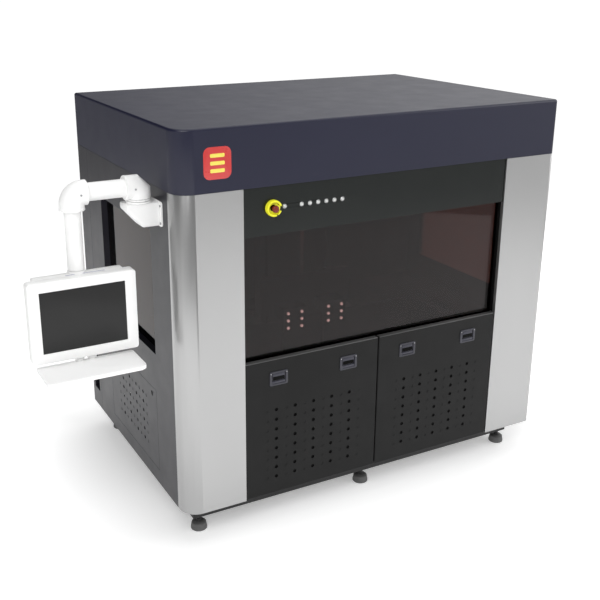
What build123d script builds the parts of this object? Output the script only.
from build123d import *
import os

# A large stereolithography resin printer: a sheet-metal cabinet on levelling feet, with a lifting
# front window, a resin vat with its elevator and recoater inside, an optics deck under the hood,
# and an operator's monitor on a swivelling arm. Millimetres; X to the right along the front,
# Y to the rear, Z up. The model is built about the cabinet's front centre at floor level and
# moved, when written, so that the origin is the bottom centre of its whole box.

# ---- cabinet envelope
BODY_W = 2200.0
BODY_D = 1495.0
HALF_W = BODY_W / 2
CLEARANCE_Z = 165.0                      # floor to the bottom edge of the cladding
HOOD_Z = CLEARANCE_Z + 1611.0            # bottom edge of the hood
TOP_Z = CLEARANCE_Z + 1900.0
SHEET = 4.0                              # cladding thickness
CORNER_R = 90.0                          # rounded front left corner of column and hood
RIGHT_CORNER_R = 20.0                    # the same corner at the right
HOOD_EDGE_R = 12.0
REAR_CORNER_R = 10.0
GAP = 2.0                                # seam between neighbouring panels and doors

# ---- base and feet
BASE_X = 1022.0
BASE_Y = (105.0, 1400.0)
BASE_RAIL = 60.0
BASE_Z = 75.0
FLOOR_X = 1060.0
FLOOR_REAR_Y = 1455.0
CROSS_INSET = 30.0                       # cross members start inside the side rails' ends
FOOT_X = 982.0
FOOT_Y = (132.0, 1370.0)
FOOT_R = 42.0
FOOT_H = 46.0
PAD_TAPER = 7.0
STEM_R = 10.0
NUT_R = 17.0
NUT_H = 12.0

# ---- upright frame
POST = 60.0
POST_X = 1020.0
POST_Y = (70.0, 1430.0)
POST_TOP = 1995.0
BEAM_Z = (1610.0, 1960.0)                # beams under the optics and under the hood
OPTICS_BEAM_Y = (230.0, 1050.0)
TOP_BEAM_Y = (140.0, 1370.0)
TUBE_WALL = 5.0

# ---- front columns, control strip and lifting window
OPENING_X = 773.0                        # half width of the front opening between the columns
COLUMN_DEPTH = 107.0
JAMB_DEPTH = 41.0
STRIP_Z = CLEARANCE_Z + 1377.0
STRIP_Y = 8.0
STRIP_DEPTH = 32.0
GLASS_Y = 44.0
GLASS_T = 6.0
LIFT_X = 800.0
LIFT_T = 28.0
LIFT_Z = (850.0, 1562.0)
LIFT_GLASS_Z = (897.0, 1552.0)
LIFT_SIGHT_X = 778.0
LIFT_TRAVEL = 470.0
GLASS_HOLD = 12.0                        # overlap of the window's frame on its glass

# ---- operator controls on the strip
CONTROL_Z = CLEARANCE_Z + 1507.0
ESTOP_X = -621.0
ESTOP_SHROUD_R = 39.0
ESTOP_HEAD_R = 17.0
STATUS_X = -557.0
BUTTON_X0 = -466.0
BUTTON_PITCH = 44.9
BUTTON_COUNT = 6
BEZEL_R = 11.8
PANEL_HOLE_R = 9.2
BUTTON_R = 8.0
SHROUD_H = 26.0
SHROUD_WALL = 11.0
HEAD_H = 14.0
HEAD_REACH = 42.0                        # front of the stop button's head from the strip
STEM_REACH = 26.0                        # how far the stems go in behind the strip
RUNNING = 0.05                           # radial clearance of sliding and turning fits

# ---- lower front doors
DOOR_Y = 2.0
DOOR_T = 30.0
DOOR_SKIN = 3.0
DOOR_Z = (168.0, 910.0)
DOOR_X = (3.0, 771.0)
DOOR_EDGE_R = 5.0
DOOR_PIVOT = (8.0, 176.0)                # Y and Z of the bottom hinge line
DOOR_PIN_R = 4.0
DOOR_FLANGE = 6.0
HOLE_PITCH = 53.6
HOLE_R = 9.5
DIMPLE_R = 9.0
DIMPLE_DEPTH = 1.2
DOOR_HOLE_ROWS = 8
DOOR_HOLE_COLS = 11
DOOR_HOLE_Z0 = 262.0
LATCH_X = 202.5                          # latch centres from the door's middle
LATCH_Z = CLEARANCE_Z + 643.0
LATCH_W = 102.0
LATCH_H = 75.0
LATCH_FLANGE = 3.0
POCKET_W = 90.0
POCKET_H = 62.0
POCKET_D = 26.0
PADDLE_W = 68.0
PADDLE_DROP = 34.0
PADDLE_TOP = 23.0
PADDLE_T = 6.0
PADDLE_AXIS_Y = DOOR_Y + 2.0
PADDLE_SIDE_GAP = 3.0
PADDLE_PIN_R = 1.5
CUP_INNER = 28.0                         # half height of the hollow in a latch cup

# ---- side walls
SIDE_SEAM_Y = 1322.0
WINDOW_Y = (341.0, 1105.0)
WINDOW_Z = (905.0, 1548.0)
WINDOW_RECESS = 42.0
WINDOW_LIP = 18.0
SIDE_GLASS_T = 8.0
VENT_Y = (357.0, 1086.0)
VENT_Z = (248.0, 699.0)
VENT_T = 22.0
VENT_HINGE = (-HALF_W + 4.0, 1081.0)     # X and Y of the left vent door's hinge line
VENT_PIN_R = 2.0
VENT_STOP = 18.0                         # width of the ledge that the vent door closes on
VENT_COLS = 9
VENT_ROWS = 6
VENT_HOLE_Y0 = 507.0
VENT_HOLE_Z0 = 344.0
VENT_LOCK_Y = 426.0
VENT_LOCK_Z = 659.0
LOCK_R = 11.0
LOCK_REACH = 36.0
CAM_T = 3.0
CAM_LENGTH = 58.0
GRIP_Y = (1356.0, 1448.0)                # tall recess in each rear corner panel
GRIP_Z = (275.0, 699.0)
GRIP_DEPTH = 40.0
REAR_RETURN = 160.0

# ---- rear
REAR_DOOR_Z = (168.0, 897.0)
REAR_DOOR_X = (3.0, 936.0)
REAR_T = 22.0
REAR_HINGE = (-931.0, BODY_D - 4.0)      # X and Y of the left rear door's hinge line
HINGE_BARREL_R = 3.0
LOUVRE_COUNT = 9
LOUVRE_PITCH = 34.0
LOUVRE_H = 12.0
LOUVRE_MARGIN = 230.0
FAN_X = 460.0
FAN_Z = 1500.0
FAN_SLOTS = 5
FAN_SLOT_W = 220.0
FAN_SLOT_H = 16.0
FAN_SLOT_PITCH = 36.0

# ---- process chamber
DECK_Z = 800.0
LINER_T = 5.0
LINER_X = 985.0
BACK_WALL_Y = 1112.0
VAT_X = 700.0
VAT_Y = (120.0, 705.0)
VAT_Z = (320.0, 800.0)
VAT_T = 6.0
PLATFORM_X = 640.0
PLATFORM_Y = (150.0, 640.0)
PLATFORM_Z = (366.0, 384.0)
HANGER_X = 134.0                         # arm centres from the middle plane
HANGER_Y = 655.0                         # front face of the hanger plates
HANGER_T = 18.0
HANGER_W = 150.0
HANGER_TOP = 885.0
BOLT_DX = 44.5
BOLT_DZ = 44.5
BOLT_Z = 810.0
BOLT_R = 9.0
ELEVATOR_TRAVEL = 400.0
PLATE_HOLE_R = 15.0
PLATE_HOLE_PITCH = 82.0
PLATE_HOLE_COLS = 15
PLATE_HOLE_ROWS = 6
CARRIAGE_X = 300.0
CARRIAGE_Y = (765.0, 790.0)
CARRIAGE_Z = (815.0, 1035.0)
RAIL_X = 200.0
RAIL_W = 34.0
RAIL_Y = (836.0, 860.0)
COLUMN_X = 250.0
COLUMN_Y = (860.0, 940.0)
COLUMN_TOP = 1575.0
SCREW_Y = 822.0
SCREW_R = 16.0
SCREW_Z = (640.0, 1560.0)
BEARING_Z = ((660.0, 700.0), (1490.0, 1530.0))
RECOATER_RAIL_X = 760.0
RECOATER_Y = (115.0, 165.0)
RECOATER_TRAVEL = 430.0
RECOATER_LIFT = 27.0                     # underside of the beam above the deck sheet
RECOATER_H = 34.0
BLADE_INSET = 14.0
BLADE_DIP = 10.0                         # how far the blade reaches below the vat's rim
OPTICS_Z = 1640.0
OPTICS_T = 25.0
OPTICS_X = 600.0
OPTICS_Y = (190.0, 1090.0)
BEAM_WINDOW = (70.0, 340.0, 480.0)       # half width, and front and rear edge of the beam's opening
LASER_X = (-480.0, 140.0)
LASER_Y = (640.0, 790.0)
LASER_H = 120.0
GALVO_X = 95.0
GALVO_Y = (320.0, 500.0)
GALVO_H = 130.0
CABINET_X = 900.0
CABINET_Y = (1160.0, 1380.0)
CABINET_Z = (176.0, 1100.0)
CABINET_T = 3.0

# ---- monitor arm
ARM_AXIS = (-1188.0, 235.0)
MONITOR_AXIS = (-1496.0, 235.0)
BRACKET_Z = (1606.0, 1716.0)
FLANGE_R = 59.0
TUBE_Z = 1787.0
TUBE_R = 41.0
DROP_TUBE_R = 38.0
ELBOW_R = 57.0
ARM_PLATE_Y = (168.0, 302.0)
ARM_PLATE_T = 8.0
ARM_BODY_Y = (180.0, 290.0)
COLLAR_H = 9.0
ELBOW_REACH = 66.0
ELBOW_DROP = 74.0
SHELL_T = 4.0
MONITOR_W = 494.0
MONITOR_Z = (1049.0, 1429.0)
MONITOR_Y = (147.0, 195.0)
REAR_COVER_Y = 277.0
REAR_INSET = 40.0                        # rear housing narrower than the front at each side
SCREEN_W = 391.0
SCREEN_Z = (1093.0, 1379.0)
TRAY_W = 452.0
TRAY_Y = (-22.0, 184.0)
TRAY_Z = (1008.0, 1025.0)
TRAY_HINGE = (175.0, 1037.0)             # Y and Z of the hinge line
TRAY_HINGE_X = 28.0


def block(x0, x1, y0, y1, z0, z1):
    """An axis-aligned block between two corners."""
    return Pos((x0 + x1) / 2, (y0 + y1) / 2, (z0 + z1) / 2) * Box(x1 - x0, y1 - y0, z1 - z0)


def rod_z(x, y, z0, z1, r):
    return Pos(x, y, (z0 + z1) / 2) * Cylinder(r, z1 - z0)


def rod_y(x, y0, y1, z, r):
    return Pos(x, (y0 + y1) / 2, z) * Rot(90, 0, 0) * Cylinder(r, y1 - y0)


def rod_x(x0, x1, y, z, r):
    return Pos((x0 + x1) / 2, y, z) * Rot(0, 90, 0) * Cylinder(r, x1 - x0)


def mirrored(shape):
    """The same piece on the other side of the machine's middle plane."""
    return mirror(shape, about=Plane.YZ)


def solids_of(*shapes):
    """The separate solids of one node as a compound."""
    found = []
    for shape in shapes:
        found.extend(shape.solids())
    return Compound(found)


def corner_block(x0, x1, y0, y1, z0, z1, left_radius, right_radius=0):
    """A block with its front-left vertical edge rounded, and the front-right one if it has a radius."""
    body = block(x0, x1, y0, y1, z0, z1)
    body = fillet(body.edges().filter_by(Axis.Z).group_by(Axis.Y)[0].sort_by(Axis.X)[0], left_radius)
    if right_radius:
        body = fillet(body.edges().filter_by(Axis.Z).sort_by(Axis.X)[-2:].sort_by(Axis.Y)[0], right_radius)
    return body


def frame_block(x0, x1, y0, y1, z0, z1, tube):
    """A rectangular ring of square tube lying flat."""
    inner = block(x0 + tube, x1 - tube, y0 + tube, y1 - tube, z0 - 1, z1 + 1)
    return block(x0, x1, y0, y1, z0, z1) - inner


# ---------------------------------------------------------------- base
def base_tubes(inset):
    """The base's tube layout, shrunk by the tube wall for its hollow inside."""
    wide = BASE_RAIL - 2 * inset
    low, high = BASE_Z + inset, CLEARANCE_Z - inset
    rails = frame_block(-BASE_X + inset, BASE_X - inset, BASE_Y[0] + inset, BASE_Y[1] - inset, low, high, wide)
    for x in (-FOOT_X / 2, 0.0, FOOT_X / 2):
        rails += block(x - wide / 2, x + wide / 2, BASE_Y[0] + CROSS_INSET, BASE_Y[1] - CROSS_INSET, low, high)
    return rails


def door_pivot_plate():
    """Upright plate between the lower doors that carries their inner hinge pins."""
    y, z = DOOR_PIVOT
    plate = block(-GAP, GAP, y - 5, JAMB_DEPTH + 20, CLEARANCE_Z, z + 10)
    return plate - rod_x(-GAP - 1, GAP + 1, y, z, DOOR_PIN_R + RUNNING)


def base_frame():
    """Welded hollow-tube base with three cross members and the floor sheet on top."""
    floor_sheet = block(-FLOOR_X, FLOOR_X, JAMB_DEPTH + 1, FLOOR_REAR_Y, CLEARANCE_Z, CLEARANCE_Z + SHEET)
    body = base_tubes(0) + floor_sheet + door_pivot_plate() - base_tubes(TUBE_WALL)
    for x in (-FOOT_X, 0.0, FOOT_X):
        for y in FOOT_Y:
            body -= rod_z(x, y, BASE_Z - 1, BASE_Z + TUBE_WALL + 1, STEM_R)
    return body


def levelling_feet():
    """Six pads with a swivel stem and lock nut screwed up into the base."""
    feet = []
    for x in (-FOOT_X, 0.0, FOOT_X):
        for y in FOOT_Y:
            pad = Pos(x, y, FOOT_H / 2) * Cone(FOOT_R, FOOT_R - PAD_TAPER, FOOT_H)
            stem = rod_z(x, y, FOOT_H - 2, CLEARANCE_Z - TUBE_WALL, STEM_R)
            nut = rod_z(x, y, BASE_Z - NUT_H, BASE_Z, NUT_R)
            feet.append(pad + stem + nut)
    return solids_of(*feet)


def upright_tubes(inset, overrun):
    """Posts and beams of the upright frame, shrunk by the tube wall for their hollow inside."""
    half = POST / 2 - inset
    low, high = CLEARANCE_Z + SHEET - overrun, POST_TOP + overrun
    body = None
    for x in (-POST_X, POST_X):
        for y in POST_Y:
            post = block(x - half, x + half, y - half, y + half, low, high)
            body = post if body is None else body + post
        for z in BEAM_Z:
            body += block(x - half, x + half, POST_Y[0], POST_Y[1], z - half, z + half)
    for y in OPTICS_BEAM_Y:
        body += block(-POST_X, POST_X, y - half, y + half, BEAM_Z[0] - half, BEAM_Z[0] + half)
    for y in TOP_BEAM_Y:
        body += block(-POST_X, POST_X, y - half, y + half, BEAM_Z[1] - half, BEAM_Z[1] + half)
    return body


def upright_frame():
    """Four posts with rings of beams under the optics and under the hood, all hollow tube."""
    return upright_tubes(0, 0) - upright_tubes(TUBE_WALL, 1)


# ---------------------------------------------------------------- cladding
def hood():
    outer = corner_block(-HALF_W, HALF_W, 0, BODY_D, HOOD_Z, TOP_Z, CORNER_R, RIGHT_CORNER_R)
    rear = outer.edges().filter_by(Axis.Z).group_by(Axis.Y)[-1]
    outer = fillet(rear, REAR_CORNER_R)
    outer = fillet(outer.faces().sort_by(Axis.Z)[-1].edges(), HOOD_EDGE_R)
    inner = corner_block(-HALF_W + SHEET, HALF_W - SHEET, SHEET, BODY_D - SHEET,
                         HOOD_Z - 1, TOP_Z - SHEET, CORNER_R - SHEET, RIGHT_CORNER_R - SHEET)
    return outer - inner


def left_column(radius):
    """Corner column, open to the rear, with a short return beside the window."""
    top = HOOD_Z - 1
    outer = corner_block(-HALF_W, -OPENING_X, 0, COLUMN_DEPTH, CLEARANCE_Z, top, radius)
    inner = corner_block(-HALF_W + SHEET, -OPENING_X - SHEET, SHEET, COLUMN_DEPTH + 90,
                         CLEARANCE_Z - 1, top + 1, radius - SHEET)
    spare_return = block(-OPENING_X - SHEET - 1, -OPENING_X + 1, JAMB_DEPTH, COLUMN_DEPTH + 1,
                         CLEARANCE_Z - 1, top + 1)
    pivot_hole = rod_x(-OPENING_X - SHEET - 1, -OPENING_X + 1, *DOOR_PIVOT, DOOR_PIN_R + RUNNING)
    return outer - inner - spare_return - pivot_hole


def left_side_panel():
    """Side wall with a deep window recess and a framed opening for the vent door."""
    y0, y1 = COLUMN_DEPTH + 1, SIDE_SEAM_Y
    skin = block(-HALF_W, -HALF_W + SHEET, y0, y1, CLEARANCE_Z, HOOD_Z - 1)
    back = -HALF_W + WINDOW_RECESS
    jamb = block(-HALF_W, back + 6, WINDOW_Y[0] - 4, WINDOW_Y[1] + 4, WINDOW_Z[0] - 4, WINDOW_Z[1] + 4)
    skin += jamb
    skin -= block(-HALF_W - 1, back, WINDOW_Y[0], WINDOW_Y[1], WINDOW_Z[0], WINDOW_Z[1])
    skin -= block(back - 1, back + 7, WINDOW_Y[0] + WINDOW_LIP, WINDOW_Y[1] - WINDOW_LIP,
                  WINDOW_Z[0] + WINDOW_LIP, WINDOW_Z[1] - WINDOW_LIP)
    stop = -HALF_W + 26
    skin += block(-HALF_W, stop + 4, VENT_Y[0] - GAP - 4, VENT_Y[1] + GAP + 4,
                  VENT_Z[0] - GAP - 4, VENT_Z[1] + GAP + 4)
    skin -= block(-HALF_W - 1, stop, VENT_Y[0] - GAP, VENT_Y[1] + GAP,
                  VENT_Z[0] - GAP, VENT_Z[1] + GAP)
    skin -= block(stop - 1, stop + 5, VENT_Y[0] + VENT_STOP, VENT_Y[1] - VENT_STOP,
                  VENT_Z[0] + VENT_STOP, VENT_Z[1] - VENT_STOP)
    return skin - rod_z(*VENT_HINGE, VENT_Z[0] - GAP - 5, VENT_Z[1] + GAP + 5, VENT_PIN_R + RUNNING)


def left_side_glass():
    back = -HALF_W + WINDOW_RECESS
    return block(back - SIDE_GLASS_T, back, WINDOW_Y[0] + 1, WINDOW_Y[1] - 1,
                 WINDOW_Z[0] + 1, WINDOW_Z[1] - 1)


def left_rear_corner():
    """Corner panel that turns from the side to the rear, with a tall recess in its side."""
    outer = block(-HALF_W, -HALF_W + REAR_RETURN, SIDE_SEAM_Y + GAP, BODY_D, CLEARANCE_Z, HOOD_Z - 1)
    edge = outer.edges().filter_by(Axis.Z).group_by(Axis.Y)[-1].sort_by(Axis.X)[0]
    outer = fillet(edge, REAR_CORNER_R)
    inner = block(-HALF_W + SHEET, -HALF_W + REAR_RETURN + 1, SIDE_SEAM_Y, BODY_D - SHEET,
                  CLEARANCE_Z - 1, HOOD_Z)
    panel = outer - inner
    depth = -HALF_W + GRIP_DEPTH
    panel += block(-HALF_W, depth + 3, GRIP_Y[0] - 3, GRIP_Y[1] + 3, GRIP_Z[0] - 3, GRIP_Z[1] + 3)
    return panel - block(-HALF_W - 1, depth, GRIP_Y[0], GRIP_Y[1], GRIP_Z[0], GRIP_Z[1])


def perforation(cols, rows, across0, z0, make_hole):
    """Holes in every second column of a square grid, from the second column on."""
    holes = []
    for col in range(1, cols, 2):
        for row in range(rows):
            holes.append(make_hole(across0 + col * HOLE_PITCH, z0 + row * HOLE_PITCH))
    return holes


def dimples(cols, rows, across0, z0, make_dimple):
    """Pressed dimples in the columns between the holes."""
    marks = []
    for col in range(0, cols, 2):
        for row in range(rows):
            marks.append(make_dimple(across0 + col * HOLE_PITCH, z0 + row * HOLE_PITCH))
    return marks


def left_vent_door():
    """Perforated door pan that swings about a concealed pin in its rear edge."""
    outer_x = -HALF_W
    through = (outer_x - 1, outer_x + DOOR_SKIN + 1)
    pan = block(outer_x, outer_x + VENT_T, VENT_Y[0], VENT_Y[1], VENT_Z[0], VENT_Z[1])
    pan -= block(outer_x + DOOR_SKIN, outer_x + VENT_T + 1, VENT_Y[0] + DOOR_SKIN,
                 VENT_Y[1] - DOOR_SKIN, VENT_Z[0] + DOOR_SKIN, VENT_Z[1] - DOOR_SKIN)
    pan += rod_z(*VENT_HINGE, VENT_Z[0], VENT_Z[1], HINGE_BARREL_R)
    pan += rod_z(*VENT_HINGE, VENT_Z[0] - GAP - 3, VENT_Z[1] + GAP + 3, VENT_PIN_R)
    cuts = perforation(VENT_COLS, VENT_ROWS, VENT_HOLE_Y0, VENT_HOLE_Z0,
                       lambda y, z: rod_x(*through, y, z, HOLE_R))
    cuts += dimples(VENT_COLS, VENT_ROWS, VENT_HOLE_Y0, VENT_HOLE_Z0,
                    lambda y, z: rod_x(outer_x - 1, outer_x + DIMPLE_DEPTH, y, z, DIMPLE_R))
    cuts.append(rod_x(*through, VENT_LOCK_Y, VENT_LOCK_Z, LOCK_R + RUNNING))
    return pan - cuts


def left_vent_lock():
    """Quarter-turn lock: slotted barrel through the door and a cam behind it."""
    x = -HALF_W
    barrel = rod_x(x - 4, x + LOCK_REACH, VENT_LOCK_Y, VENT_LOCK_Z, LOCK_R)
    slot = block(x - 5, x - 2, VENT_LOCK_Y - 7, VENT_LOCK_Y + 7, VENT_LOCK_Z - 1.5, VENT_LOCK_Z + 1.5)
    cam = block(x + LOCK_REACH - CAM_T, x + LOCK_REACH, VENT_LOCK_Y - 10, VENT_LOCK_Y + 10,
                VENT_LOCK_Z - CAM_LENGTH, VENT_LOCK_Z)
    return barrel + cam - slot


def rear_panel():
    """Fixed upper rear panel with two slotted fan outlets."""
    x = HALF_W - REAR_RETURN - GAP
    panel = block(-x, x, BODY_D - SHEET, BODY_D, REAR_DOOR_Z[1] + 3, HOOD_Z - 1)
    for fan_x in (-FAN_X, FAN_X):
        for row in range(FAN_SLOTS):
            z = FAN_Z + (row - (FAN_SLOTS - 1) / 2) * FAN_SLOT_PITCH
            panel -= block(fan_x - FAN_SLOT_W / 2, fan_x + FAN_SLOT_W / 2, BODY_D - SHEET - 1, BODY_D + 1,
                           z - FAN_SLOT_H / 2, z + FAN_SLOT_H / 2)
    return panel


def rear_left_door():
    """Rear service door, hinged on its outer edge, with louvre slots."""
    x0, x1 = -REAR_DOOR_X[1], -REAR_DOOR_X[0]
    z0, z1 = REAR_DOOR_Z
    pan = block(x0, x1, BODY_D - REAR_T, BODY_D, z0, z1)
    pan -= block(x0 + DOOR_SKIN, x1 - DOOR_SKIN, BODY_D - REAR_T - 1, BODY_D - DOOR_SKIN,
                 z0 + DOOR_SKIN, z1 - DOOR_SKIN)
    pan += rod_z(*REAR_HINGE, z0, z1, HINGE_BARREL_R)
    for step in range(LOUVRE_COUNT):
        z = z0 + 110 + step * LOUVRE_PITCH
        pan -= block(x0 + LOUVRE_MARGIN, x1 - LOUVRE_MARGIN, BODY_D - DOOR_SKIN - 1, BODY_D + 1,
                     z, z + LOUVRE_H)
    return pan


# ---------------------------------------------------------------- front
def button_places():
    places = [STATUS_X]
    for index in range(BUTTON_COUNT):
        places.append(BUTTON_X0 + index * BUTTON_PITCH)
    return places


def control_strip():
    """Black fascia above the window, bent back along its top and bottom edges."""
    x = OPENING_X - 1
    strip = block(-x, x, STRIP_Y, STRIP_Y + STRIP_DEPTH, STRIP_Z, HOOD_Z - 1)
    strip -= block(-x - 1, x + 1, STRIP_Y + SHEET, STRIP_Y + STRIP_DEPTH + 1,
                   STRIP_Z + SHEET, HOOD_Z - 1 - SHEET)
    for place in button_places():
        strip -= rod_y(place, STRIP_Y - 1, STRIP_Y + SHEET + 1, CONTROL_Z, PANEL_HOLE_R)
    strip -= rod_y(ESTOP_X, STRIP_Y - 1, STRIP_Y + SHEET + 1, CONTROL_Z, PANEL_HOLE_R + RUNNING)
    return strip


def estop_shroud():
    """Guard ring round the emergency stop, cut away at its right side and below."""
    front, seat = STRIP_Y - SHROUD_H, STRIP_Y - SHEET
    ring = rod_y(ESTOP_X, front, STRIP_Y, CONTROL_Z, ESTOP_SHROUD_R)
    ring -= rod_y(ESTOP_X, front - 1, seat, CONTROL_Z, ESTOP_SHROUD_R - SHROUD_WALL)
    ring -= rod_y(ESTOP_X, front - 1, STRIP_Y + 1, CONTROL_Z, PANEL_HOLE_R + RUNNING)
    ring -= block(ESTOP_X, ESTOP_X + 60, front - 1, seat - 4, CONTROL_Z - 15, CONTROL_Z + 9)
    ring -= block(ESTOP_X + 8, ESTOP_X + 17, front - 1, seat - 4, CONTROL_Z - 60, CONTROL_Z)
    return ring


def estop_button():
    stem = rod_y(ESTOP_X, STRIP_Y - HEAD_REACH + 8, STRIP_Y + STEM_REACH, CONTROL_Z, PANEL_HOLE_R)
    head = rod_y(ESTOP_X, STRIP_Y - HEAD_REACH, STRIP_Y - HEAD_REACH + HEAD_H, CONTROL_Z, ESTOP_HEAD_R)
    return stem + head


def button_bezels():
    bezels = []
    for place in button_places():
        ring = rod_y(place, STRIP_Y - 5, STRIP_Y, CONTROL_Z, BEZEL_R)
        sleeve = rod_y(place, STRIP_Y, STRIP_Y + STEM_REACH - 2, CONTROL_Z, PANEL_HOLE_R)
        bore = rod_y(place, STRIP_Y - 6, STRIP_Y + STEM_REACH, CONTROL_Z, BUTTON_R + RUNNING)
        bezels.append(ring + sleeve - bore)
    return solids_of(*bezels)


def push_button(place):
    return rod_y(place, STRIP_Y - 7, STRIP_Y + STEM_REACH - 4, CONTROL_Z, BUTTON_R)


def lift_door_frame():
    y0, y1 = GLASS_Y, GLASS_Y + LIFT_T
    frame = block(-LIFT_X, LIFT_X, y0, y1, LIFT_Z[0], LIFT_Z[1])
    frame -= block(-LIFT_SIGHT_X, LIFT_SIGHT_X, y0 - 1, y1 + 1, LIFT_GLASS_Z[0] + GLASS_HOLD,
                   LIFT_GLASS_Z[1] - GLASS_HOLD)
    return frame - lift_door_glass()


def lift_door_glass():
    return block(-LIFT_X + GLASS_HOLD, LIFT_X - GLASS_HOLD, GLASS_Y, GLASS_Y + GLASS_T,
                 LIFT_GLASS_Z[0], LIFT_GLASS_Z[1])


def left_lower_door():
    """Perforated door pan that tilts forward on its bottom edge once both latches are open."""
    x0, x1 = -DOOR_X[1], -DOOR_X[0]
    z0, z1 = DOOR_Z
    pan = block(x0, x1, DOOR_Y, DOOR_Y + DOOR_T, z0, z1)
    pan = fillet(pan.faces().sort_by(Axis.Y)[0].edges(), DOOR_EDGE_R)
    pan -= block(x0 + DOOR_FLANGE, x1 - DOOR_FLANGE, DOOR_Y + DOOR_SKIN, DOOR_Y + DOOR_T + 1,
                 z0 + DOOR_FLANGE, z1 - DOOR_FLANGE)
    pan += rod_x(-OPENING_X - SHEET + 1, x0 + 40, *DOOR_PIVOT, DOOR_PIN_R)
    pan += rod_x(x1 - 40, -0.3, *DOOR_PIVOT, DOOR_PIN_R)
    middle = (x0 + x1) / 2
    first = middle - HOLE_PITCH * (DOOR_HOLE_COLS - 1) / 2
    cuts = perforation(DOOR_HOLE_COLS, DOOR_HOLE_ROWS, first, DOOR_HOLE_Z0,
                       lambda x, z: rod_y(x, DOOR_Y - 1, DOOR_Y + 5, z, HOLE_R))
    cuts += dimples(DOOR_HOLE_COLS, DOOR_HOLE_ROWS, first, DOOR_HOLE_Z0,
                    lambda x, z: rod_y(x, DOOR_Y - 1, DOOR_Y + DIMPLE_DEPTH, z, DIMPLE_R))
    for side in (-1, 1):
        x = middle + side * LATCH_X
        cuts.append(block(x - POCKET_W / 2, x + POCKET_W / 2, DOOR_Y - 1, DOOR_Y + 5,
                          LATCH_Z - POCKET_H / 2, LATCH_Z + POCKET_H / 2))
    return pan - cuts


def latch_middles(side):
    """X of the two latches of the left (-1) or right (+1) lower door."""
    middle = side * (DOOR_X[0] + DOOR_X[1]) / 2
    return middle - LATCH_X, middle + LATCH_X


def latch_bezels(side):
    """Flanged pockets set into the door, closed behind, each with the pin of its flap."""
    cups = []
    half = PADDLE_W / 2 + PADDLE_SIDE_GAP
    for x in latch_middles(side):
        flange = block(x - LATCH_W / 2, x + LATCH_W / 2, DOOR_Y - LATCH_FLANGE, DOOR_Y,
                       LATCH_Z - LATCH_H / 2, LATCH_Z + LATCH_H / 2)
        cup = block(x - POCKET_W / 2, x + POCKET_W / 2, DOOR_Y, DOOR_Y + POCKET_D,
                    LATCH_Z - POCKET_H / 2, LATCH_Z + POCKET_H / 2)
        hollow = block(x - half, x + half, DOOR_Y - LATCH_FLANGE - 1, DOOR_Y + POCKET_D - 3,
                       LATCH_Z - CUP_INNER, LATCH_Z + CUP_INNER)
        pin = rod_x(x - half - 2, x + half + 2, PADDLE_AXIS_Y, LATCH_Z + PADDLE_TOP, PADDLE_PIN_R)
        cups.append(flange + cup - hollow + pin)
    return solids_of(*cups)


def latch_paddle(x):
    """Pull flap that swings out about the barrel along its top edge."""
    y0 = PADDLE_AXIS_Y - PADDLE_T / 2
    top = LATCH_Z + PADDLE_TOP
    flap = block(x - PADDLE_W / 2, x + PADDLE_W / 2, y0, y0 + PADDLE_T, top - PADDLE_DROP, top)
    flap += rod_x(x - PADDLE_W / 2, x + PADDLE_W / 2, PADDLE_AXIS_Y, top, PADDLE_T / 2)
    return flap - rod_x(x - PADDLE_W, x + PADDLE_W, PADDLE_AXIS_Y, top, PADDLE_PIN_R + RUNNING)


# ---------------------------------------------------------------- chamber
def chamber_liner():
    """Deck round the vat, folded up into the chamber's back wall."""
    deck = block(-LINER_X, LINER_X, 84, BACK_WALL_Y, DECK_Z, DECK_Z + LINER_T)
    deck -= block(-VAT_X - 3, VAT_X + 3, VAT_Y[0] - 3, VAT_Y[1] + 3, DECK_Z - 1, DECK_Z + LINER_T + 1)
    deck -= block(-CARRIAGE_X - 10, CARRIAGE_X + 10, VAT_Y[1], COLUMN_Y[1] + 3,
                  DECK_Z - 1, DECK_Z + LINER_T + 1)
    wall = block(-LINER_X, LINER_X, BACK_WALL_Y - LINER_T, BACK_WALL_Y, DECK_Z, 1578)
    return deck + wall


def resin_vat():
    tank = block(-VAT_X, VAT_X, VAT_Y[0], VAT_Y[1], VAT_Z[0], VAT_Z[1])
    inside = block(-VAT_X + VAT_T, VAT_X - VAT_T, VAT_Y[0] + VAT_T, VAT_Y[1] - VAT_T,
                   VAT_Z[0] + VAT_T, VAT_Z[1] + 1)
    return tank - inside


def vat_stand():
    """Low tube table that carries the vat."""
    low = CLEARANCE_Z + SHEET
    stand = frame_block(-VAT_X + 10, VAT_X - 10, VAT_Y[0] + 10, VAT_Y[1] - 10, VAT_Z[0] - 50, VAT_Z[0], 50)
    for x in (-VAT_X + 35, 0.0, VAT_X - 35):
        for y in (VAT_Y[0] + 35, VAT_Y[1] - 35):
            stand += block(x - 25, x + 25, y - 25, y + 25, low, VAT_Z[0])
    return stand


def z_column():
    """Channel-shaped elevator column with the two bearing brackets of its ball screw."""
    low = CLEARANCE_Z + SHEET
    body = block(-COLUMN_X, COLUMN_X, COLUMN_Y[0], COLUMN_Y[1], low, COLUMN_TOP)
    body -= block(-COLUMN_X + 12, COLUMN_X - 12, COLUMN_Y[0] + 12, COLUMN_Y[1] + 1, low + 12, COLUMN_TOP - 12)
    for z0, z1 in BEARING_Z:
        bracket = block(-38, 38, SCREW_Y - 28, COLUMN_Y[0], z0, z1)
        body += bracket - rod_z(0, SCREW_Y, z0 - 1, z1 + 1, SCREW_R + RUNNING)
    return body


def z_screw():
    return rod_z(0, SCREW_Y, SCREW_Z[0], SCREW_Z[1], SCREW_R)


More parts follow.
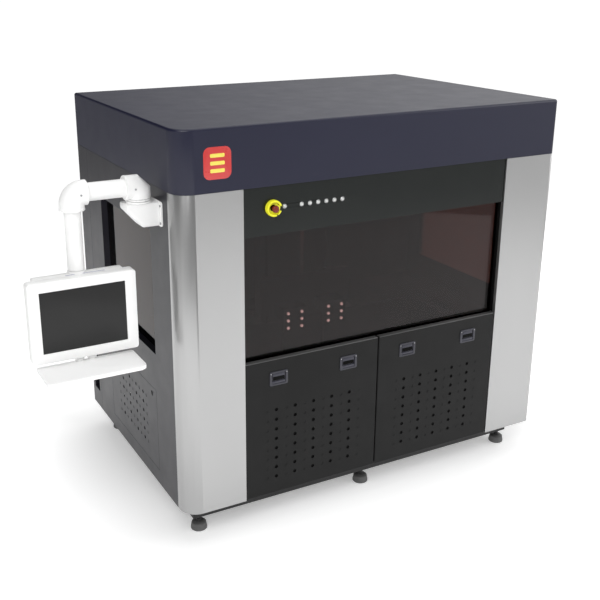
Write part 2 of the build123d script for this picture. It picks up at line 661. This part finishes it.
def linear_rails():
    """Guide rails of the elevator, of the recoater and of the lifting window, two of each."""
    rails = []
    for side in (-1, 1):
        x = side * RAIL_X
        rails.append(block(x - RAIL_W / 2, x + RAIL_W / 2, RAIL_Y[0], RAIL_Y[1], 720, 1560))
        x = side * RECOATER_RAIL_X
        rails.append(block(x - 15, x + 15, 100, 700, DECK_Z + LINER_T, DECK_Z + LINER_T + 26))
        x = side * (LIFT_X + 20)
        rails.append(block(x - 14, x + 14, GLASS_Y, GLASS_Y + LIFT_T, 850, 2040))
    return solids_of(*rails)


def z_carriage():
    """Carriage plate with four runner blocks and the ball nut."""
    z0, z1 = CARRIAGE_Z
    body = block(-CARRIAGE_X, CARRIAGE_X, CARRIAGE_Y[0], CARRIAGE_Y[1], z0, z1)
    for side in (-1, 1):
        for z in (z0 + 5, z1 - 75):
            x = side * RAIL_X
            runner = block(x - 35, x + 35, CARRIAGE_Y[1], RAIL_Y[1] - 4, z, z + 70)
            runner -= block(x - RAIL_W / 2 - 0.5, x + RAIL_W / 2 + 0.5, RAIL_Y[0] - 1, RAIL_Y[1],
                            z - 1, z + 71)
            body += runner
    nut = block(-34, 34, CARRIAGE_Y[1], SCREW_Y + 30, 880, 960)
    body += nut
    return body - rod_z(0, SCREW_Y, 879, 961, SCREW_R + RUNNING)


def platform_arms():
    """Two goose-neck arms that reach over the vat's rear wall and hang into it."""
    arms = []
    for side in (-1, 1):
        x0, x1 = side * HANGER_X - HANGER_W / 2, side * HANGER_X + HANGER_W / 2
        hanger = block(x0, x1, HANGER_Y, HANGER_Y + HANGER_T, PLATFORM_Z[0], HANGER_TOP)
        beam = block(x0, x1, HANGER_Y + HANGER_T, CARRIAGE_Y[0], 815, HANGER_TOP)
        foot = block(x0, x1, 300, HANGER_Y + HANGER_T, PLATFORM_Z[0] - 24, PLATFORM_Z[0])
        arms.append(hanger + beam + foot)
    return solids_of(*arms)


def platform_bolts():
    """Cap screws that hold the hangers, six to each arm."""
    bolts = []
    for side in (-1, 1):
        for column in (-1, 1):
            for row in (-1, 0, 1):
                x = side * HANGER_X + column * BOLT_DX
                bolts.append(rod_y(x, HANGER_Y - 8, HANGER_Y, BOLT_Z + row * BOLT_DZ, BOLT_R))
    return solids_of(*bolts)


def build_platform():
    """Perforated build plate."""
    plate = block(-PLATFORM_X, PLATFORM_X, PLATFORM_Y[0], PLATFORM_Y[1], PLATFORM_Z[0], PLATFORM_Z[1])
    first_x = -PLATE_HOLE_PITCH * (PLATE_HOLE_COLS - 1) / 2
    first_y = (PLATFORM_Y[0] + PLATFORM_Y[1] - PLATE_HOLE_PITCH * (PLATE_HOLE_ROWS - 1)) / 2
    holes = []
    for col in range(PLATE_HOLE_COLS):
        for row in range(PLATE_HOLE_ROWS):
            holes.append(rod_z(first_x + col * PLATE_HOLE_PITCH, first_y + row * PLATE_HOLE_PITCH,
                               PLATFORM_Z[0] - 1, PLATFORM_Z[1] + 1, PLATE_HOLE_R))
    return plate - holes


def recoater():
    """Beam across the vat with its blade."""
    low = DECK_Z + LINER_T + RECOATER_LIFT
    y0, y1 = RECOATER_Y
    beam = block(-RECOATER_RAIL_X - 30, RECOATER_RAIL_X + 30, y0, y1, low, low + RECOATER_H)
    blade = block(-VAT_X + 20, VAT_X - 20, y0 + BLADE_INSET, y1 - BLADE_INSET, DECK_Z - BLADE_DIP, low)
    return beam + blade


def optics_plate():
    """Mounting plate for laser and scanner, with the beam's opening."""
    half, y0, y1 = BEAM_WINDOW
    plate = block(-OPTICS_X, OPTICS_X, *OPTICS_Y, OPTICS_Z, OPTICS_Z + OPTICS_T)
    return plate - block(-half, half, y0, y1, OPTICS_Z - 1, OPTICS_Z + OPTICS_T + 1)


def laser_head():
    low = OPTICS_Z + OPTICS_T
    return block(*LASER_X, *LASER_Y, low, low + LASER_H)


def galvo_scanner():
    """Scan head over the opening: a housing with a round aperture below."""
    z = OPTICS_Z + OPTICS_T
    head = block(-GALVO_X, GALVO_X, *GALVO_Y, z, z + GALVO_H)
    return head - rod_z(0, sum(GALVO_Y) / 2, z - 1, z + 60, 45)


def electrical_cabinet():
    """Control cabinet behind the chamber, open to the rear doors, with its mounting plate."""
    y0, y1 = CABINET_Y
    z0, z1 = CABINET_Z
    inner = CABINET_X - CABINET_T
    shell = block(-CABINET_X, CABINET_X, y0, y1, z0, z1)
    shell -= block(-inner, inner, y0 + CABINET_T, y1 + 1, z0 + CABINET_T, z1 - CABINET_T)
    return shell + block(-inner + 37, inner - 37, y0 + CABINET_T, y0 + CABINET_T + 4, z0 + 40, z1 - 40)


# ---------------------------------------------------------------- monitor arm
def arm_bracket():
    """Wall plate, tapered body and fixed flange of the suspension arm."""
    low, high = BRACKET_Z
    face = -HALF_W - ARM_PLATE_T
    plate = block(face, -HALF_W, *ARM_PLATE_Y, low - 4, high)
    outline = Polyline((face, low), (face - 82, low), (face - 154, high - 28), (face - 154, high),
                       (face, high), close=True)
    profile = make_face(Plane.XZ * outline)
    body = Pos(0, ARM_BODY_Y[1], 0) * extrude(profile, amount=ARM_BODY_Y[1] - ARM_BODY_Y[0], dir=(0, -1, 0))
    flange = rod_z(*ARM_AXIS, high, high + COLLAR_H, FLANGE_R)
    return plate + body + flange


def arm_elbows():
    """The two hollow-cast elbows, inner one on the bracket and outer one over the monitor."""
    x, y = ARM_AXIS
    foot = BRACKET_Z[1] + COLLAR_H + 2
    inner = rod_z(x, y, foot, TUBE_Z, ELBOW_R) + Pos(x, y, TUBE_Z) * Sphere(ELBOW_R - 1)
    inner += rod_x(x - ELBOW_REACH, x, y, TUBE_Z, ELBOW_R - 5)
    x, y = MONITOR_AXIS
    outer = rod_z(x, y, TUBE_Z - ELBOW_DROP, TUBE_Z, ELBOW_R) + Pos(x, y, TUBE_Z) * Sphere(ELBOW_R - 1)
    outer += rod_x(x, x + ELBOW_REACH, y, TUBE_Z, ELBOW_R - 5)
    return solids_of(inner, outer)


def arm_tubes():
    level = rod_x(MONITOR_AXIS[0] + ELBOW_REACH, ARM_AXIS[0] - ELBOW_REACH, ARM_AXIS[1], TUBE_Z, TUBE_R)
    drop = rod_z(*MONITOR_AXIS, MONITOR_Z[1] + 12, TUBE_Z - ELBOW_DROP, DROP_TUBE_R)
    return solids_of(level, drop)


def tray_clevises():
    """Two clevises under the monitor, each with its pin."""
    y, z = TRAY_HINGE
    clevises = []
    for side in (-1, 1):
        x = MONITOR_AXIS[0] + side * TRAY_HINGE_X
        clevis = rod_x(x - 20, x + 20, y, z, 4)
        for ear in (-1, 1):
            ear_x = x + ear * 17
            clevis += block(ear_x - 3, ear_x + 3, y - 9, y + 9, z - 6, MONITOR_Z[0] + 2)
        clevises.append(clevis)
    return clevises


def monitor_bezel():
    """Front half of the monitor housing with the screen opening and the tray's clevises."""
    x = MONITOR_AXIS[0]
    half = MONITOR_W / 2
    y0, y1 = MONITOR_Y
    body = block(x - half, x + half, y0, y1, MONITOR_Z[0], MONITOR_Z[1])
    body = fillet(body.edges().filter_by(Axis.Y), 10)
    body = fillet(body.faces().sort_by(Axis.Y)[0].edges(), 4)
    body -= block(x - half + 4, x + half - 4, y0 + 8, y1 + 1, MONITOR_Z[0] + 4, MONITOR_Z[1] - 4)
    body -= block(x - SCREEN_W / 2, x + SCREEN_W / 2, y0 - 1, y0 + 9, SCREEN_Z[0], SCREEN_Z[1])
    for clevis in tray_clevises():
        body += clevis
    return body


def monitor_screen():
    x = MONITOR_AXIS[0]
    panel = block(x - SCREEN_W / 2, x + SCREEN_W / 2, MONITOR_Y[0] + 3, MONITOR_Y[0] + 8,
                  SCREEN_Z[0], SCREEN_Z[1])
    module = block(x - SCREEN_W / 2 - 12, x + SCREEN_W / 2 + 12, MONITOR_Y[0] + 8, MONITOR_Y[0] + 24,
                   SCREEN_Z[0] - 12, SCREEN_Z[1] + 12)
    return panel + module


def monitor_rear_cover():
    """Rear half of the housing with the swivel flange on top."""
    x = MONITOR_AXIS[0]
    z0, z1 = MONITOR_Z
    lid_y = MONITOR_Y[1]
    lid = block(x - MONITOR_W / 2, x + MONITOR_W / 2, lid_y, lid_y + 6, z0, z1)
    lid = fillet(lid.edges().filter_by(Axis.Y), 10)
    half = MONITOR_W / 2 - REAR_INSET
    body = block(x - half, x + half, lid_y + 6, REAR_COVER_Y, z0 + 20, z1 - 1)
    body = fillet(body.faces().sort_by(Axis.Y)[-1].edges(), 6)
    body += lid
    body -= block(x - half + 4, x + half - 4, lid_y - 1, REAR_COVER_Y - 4, z0 + 24, z1 - 5)
    return body + rod_z(x, MONITOR_AXIS[1], z1 - 11, z1 + 11, DROP_TUBE_R + 1.5)


def keyboard_tray():
    """Shelf pan with rounded front corners and two hinge lugs."""
    x = MONITOR_AXIS[0]
    z0, z1 = TRAY_Z
    shelf = block(x - TRAY_W / 2, x + TRAY_W / 2, TRAY_Y[0], TRAY_Y[1], z0, z1)
    shelf = fillet(shelf.edges().filter_by(Axis.Z).group_by(Axis.Y)[0], 26)
    shelf -= block(x - TRAY_W / 2 + 4, x + TRAY_W / 2 - 4, TRAY_Y[0] + 26, TRAY_Y[1] - 4, z0 - 1, z1 - 4)
    y, z = TRAY_HINGE
    for side in (-1, 1):
        lug_x = x + side * TRAY_HINGE_X
        shelf += rod_x(lug_x - 13, lug_x + 13, y, z, 8)
        shelf += block(lug_x - 13, lug_x + 13, y - 6, y + 6, z1 - 4, z)
        shelf -= rod_x(lug_x - 14, lug_x + 14, y, z, 4 + RUNNING)
    return shelf


def model():
    """Every node of the machine by name."""
    nodes = {
        "base_frame": base_frame(),
        "levelling_feet": levelling_feet(),
        "upright_frame": upright_frame(),
        "hood": hood(),
        "left_column": left_column(CORNER_R),
        "right_column": mirrored(left_column(RIGHT_CORNER_R)),
        "left_side_panel": left_side_panel(),
        "right_side_panel": mirrored(left_side_panel()),
        "rear_corner_panels": solids_of(left_rear_corner(), mirrored(left_rear_corner())),
        "side_window_glasses": solids_of(left_side_glass(), mirrored(left_side_glass())),
        "left_vent_door": left_vent_door(),
        "right_vent_door": mirrored(left_vent_door()),
        "left_vent_lock": left_vent_lock(),
        "right_vent_lock": mirrored(left_vent_lock()),
        "rear_panel": rear_panel(),
        "rear_left_door": rear_left_door(),
        "rear_right_door": mirrored(rear_left_door()),
        "control_strip": control_strip(),
        "estop_shroud": estop_shroud(),
        "estop_button": estop_button(),
        "button_bezels": button_bezels(),
        "status_button": push_button(STATUS_X),
        "lift_door_frame": lift_door_frame(),
        "lift_door_glass": lift_door_glass(),
        "left_lower_door": left_lower_door(),
        "right_lower_door": mirrored(left_lower_door()),
        "left_latch_bezels": latch_bezels(-1),
        "right_latch_bezels": latch_bezels(1),
        "chamber_liner": chamber_liner(),
        "resin_vat": resin_vat(),
        "vat_stand": vat_stand(),
        "z_column": z_column(),
        "z_screw": z_screw(),
        "linear_rails": linear_rails(),
        "z_carriage": z_carriage(),
        "platform_arms": platform_arms(),
        "platform_bolts": platform_bolts(),
        "build_platform": build_platform(),
        "recoater": recoater(),
        "optics_plate": optics_plate(),
        "laser_head": laser_head(),
        "galvo_scanner": galvo_scanner(),
        "electrical_cabinet": electrical_cabinet(),
        "arm_bracket": arm_bracket(),
        "arm_elbows": arm_elbows(),
        "arm_tubes": arm_tubes(),
        "monitor_bezel": monitor_bezel(),
        "monitor_screen": monitor_screen(),
        "monitor_rear_cover": monitor_rear_cover(),
        "keyboard_tray": keyboard_tray(),
    }
    for index in range(BUTTON_COUNT):
        nodes[f"push_button_{index + 1}"] = push_button(BUTTON_X0 + index * BUTTON_PITCH)
    paddles = latch_middles(-1) + latch_middles(1)
    for index, x in enumerate(paddles):
        nodes[f"latch_paddle_{index + 1}"] = latch_paddle(x)
    return nodes


def origin_shift(nodes):
    """Moves the bottom centre of the whole model's box to the origin."""
    bounds = Compound([solid for shape in nodes.values() for solid in shape.solids()]).bounding_box()
    return Vector(-(bounds.min.X + bounds.max.X) / 2, -(bounds.min.Y + bounds.max.Y) / 2, -bounds.min.Z)


def main():
    os.makedirs("parts", exist_ok=True)
    nodes = model()
    shift = origin_shift(nodes)
    print("origin shift", round(shift.X, 3), round(shift.Y, 3), round(shift.Z, 3))
    for name, shape in nodes.items():
        placed = solids_of(shape).moved(Location(shift))
        export_step(placed, f"parts/{name}.step")


if __name__ == "__main__":
    main()
